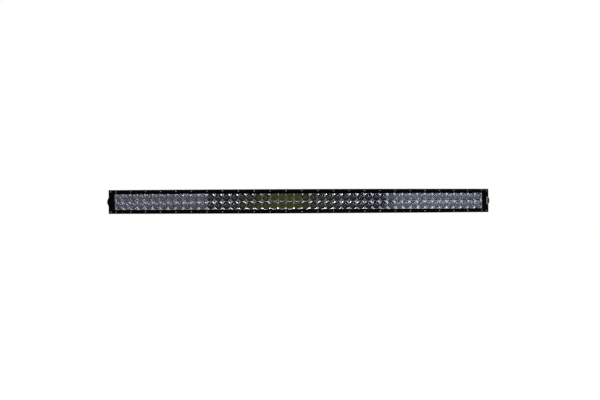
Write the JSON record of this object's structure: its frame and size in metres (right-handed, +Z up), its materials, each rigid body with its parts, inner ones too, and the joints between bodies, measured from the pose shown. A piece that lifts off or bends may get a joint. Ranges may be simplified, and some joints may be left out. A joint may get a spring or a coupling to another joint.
{
  "type": "led light bar",
  "caption": "Long slim double-row LED light bar, gently curved, with a finned black housing, a clear front lens over chromed reflector cups, and a swinging bracket at each end.",
  "frame": {"origin": "bottom centre of the bounding box, on the surface that the bar stands on", "axes": "+X along the bar, to the right as seen from the front; the light shines towards -Y; +Z up"},
  "size_m": [1.2554, 0.1718, 0.077],
  "materials": {
    "black_powder_coat": "fine satin powder coat",
    "black_anodised": "satin black anodised extrusion",
    "bracket_paint": "satin black paint on bent steel",
    "stainless_steel": "bright, lightly brushed",
    "spot_chrome": "mirror vacuum metallised",
    "flood_chrome": "faceted vacuum metallised",
    "clear_lens": "polished clear polycarbonate",
    "gasket_rubber": "matt silicone rubber",
    "board_white": "white solder mask with yellow phosphor emitters",
    "led_phosphor": "yellow phosphor under clear silicone",
    "driver_case": "potted plastic case",
    "black_nylon": "moulded black nylon",
    "badge_silver": "blank satin plate"
  },
  "bodies": {
    "bar": {"housing": "black_anodised", "front_bezel": "black_powder_coat", "front_lens": "clear_lens", "lens_gasket": "gasket_rubber", "flood_reflector_1": "flood_chrome", "led_board_1": "board_white", "flood_reflector_2": "flood_chrome", "led_board_2": "board_white", "flood_reflector_3": "flood_chrome", "led_board_3": "board_white", "spot_reflector_1": "spot_chrome", "led_board_4": "board_white", "spot_reflector_2": "spot_chrome", "led_board_5": "board_white", "spot_reflector_3": "spot_chrome", "led_board_6": "board_white", "spot_reflector_4": "spot_chrome", "led_board_7": "board_white", "spot_reflector_5": "spot_chrome", "led_board_8": "board_white", "spot_reflector_6": "spot_chrome", "led_board_9": "board_white", "flood_reflector_4": "flood_chrome", "led_board_10": "board_white", "flood_reflector_5": "flood_chrome", "led_board_11": "board_white", "flood_reflector_6": "flood_chrome", "led_board_12": "board_white", "led_driver_left": "driver_case", "led_driver_right": "driver_case", "end_cap_left": "black_powder_coat", "end_cap_gasket_left": "gasket_rubber", "end_cap_screw_left_1": "stainless_steel", "end_cap_screw_left_2": "stainless_steel", "end_cap_screw_left_3": "stainless_steel", "end_cap_screw_left_4": "stainless_steel", "bezel_screw_left_top": "stainless_steel", "bezel_screw_left_bottom": "stainless_steel", "spring_washer_left": "stainless_steel", "pivot_bolt_left": "stainless_steel", "end_cap_right": "black_powder_coat", "end_cap_gasket_right": "gasket_rubber", "end_cap_screw_right_1": "stainless_steel", "end_cap_screw_right_2": "stainless_steel", "end_cap_screw_right_3": "stainless_steel", "end_cap_screw_right_4": "stainless_steel", "bezel_screw_right_top": "stainless_steel", "bezel_screw_right_bottom": "stainless_steel", "spring_washer_right": "stainless_steel", "pivot_bolt_right": "stainless_steel", "cable_gland_body": "black_nylon", "cable_gland_nut": "black_nylon", "cable_gland_seal": "gasket_rubber", "breather_vent": "black_nylon", "blank_badge": "badge_silver"},
    "bracket_left": {"mounting_bracket_left": "bracket_paint"},
    "bracket_right": {"mounting_bracket_right": "bracket_paint"}
  },
  "joints": [
    {"name": "bracket_left_tilt", "type": "hinge", "parent": "bar", "child": "bracket_left", "pos_m": [-0.61352, 0.01947, 0.0385], "axis": [0.9646, -0.2637, 0], "range_deg": [-120, 120]},
    {"name": "bracket_right_tilt", "type": "hinge", "parent": "bar", "child": "bracket_right", "pos_m": [0.61352, 0.01947, 0.0385], "axis": [0.9646, 0.2637, 0], "range_deg": [-120, 120]}
  ]
}
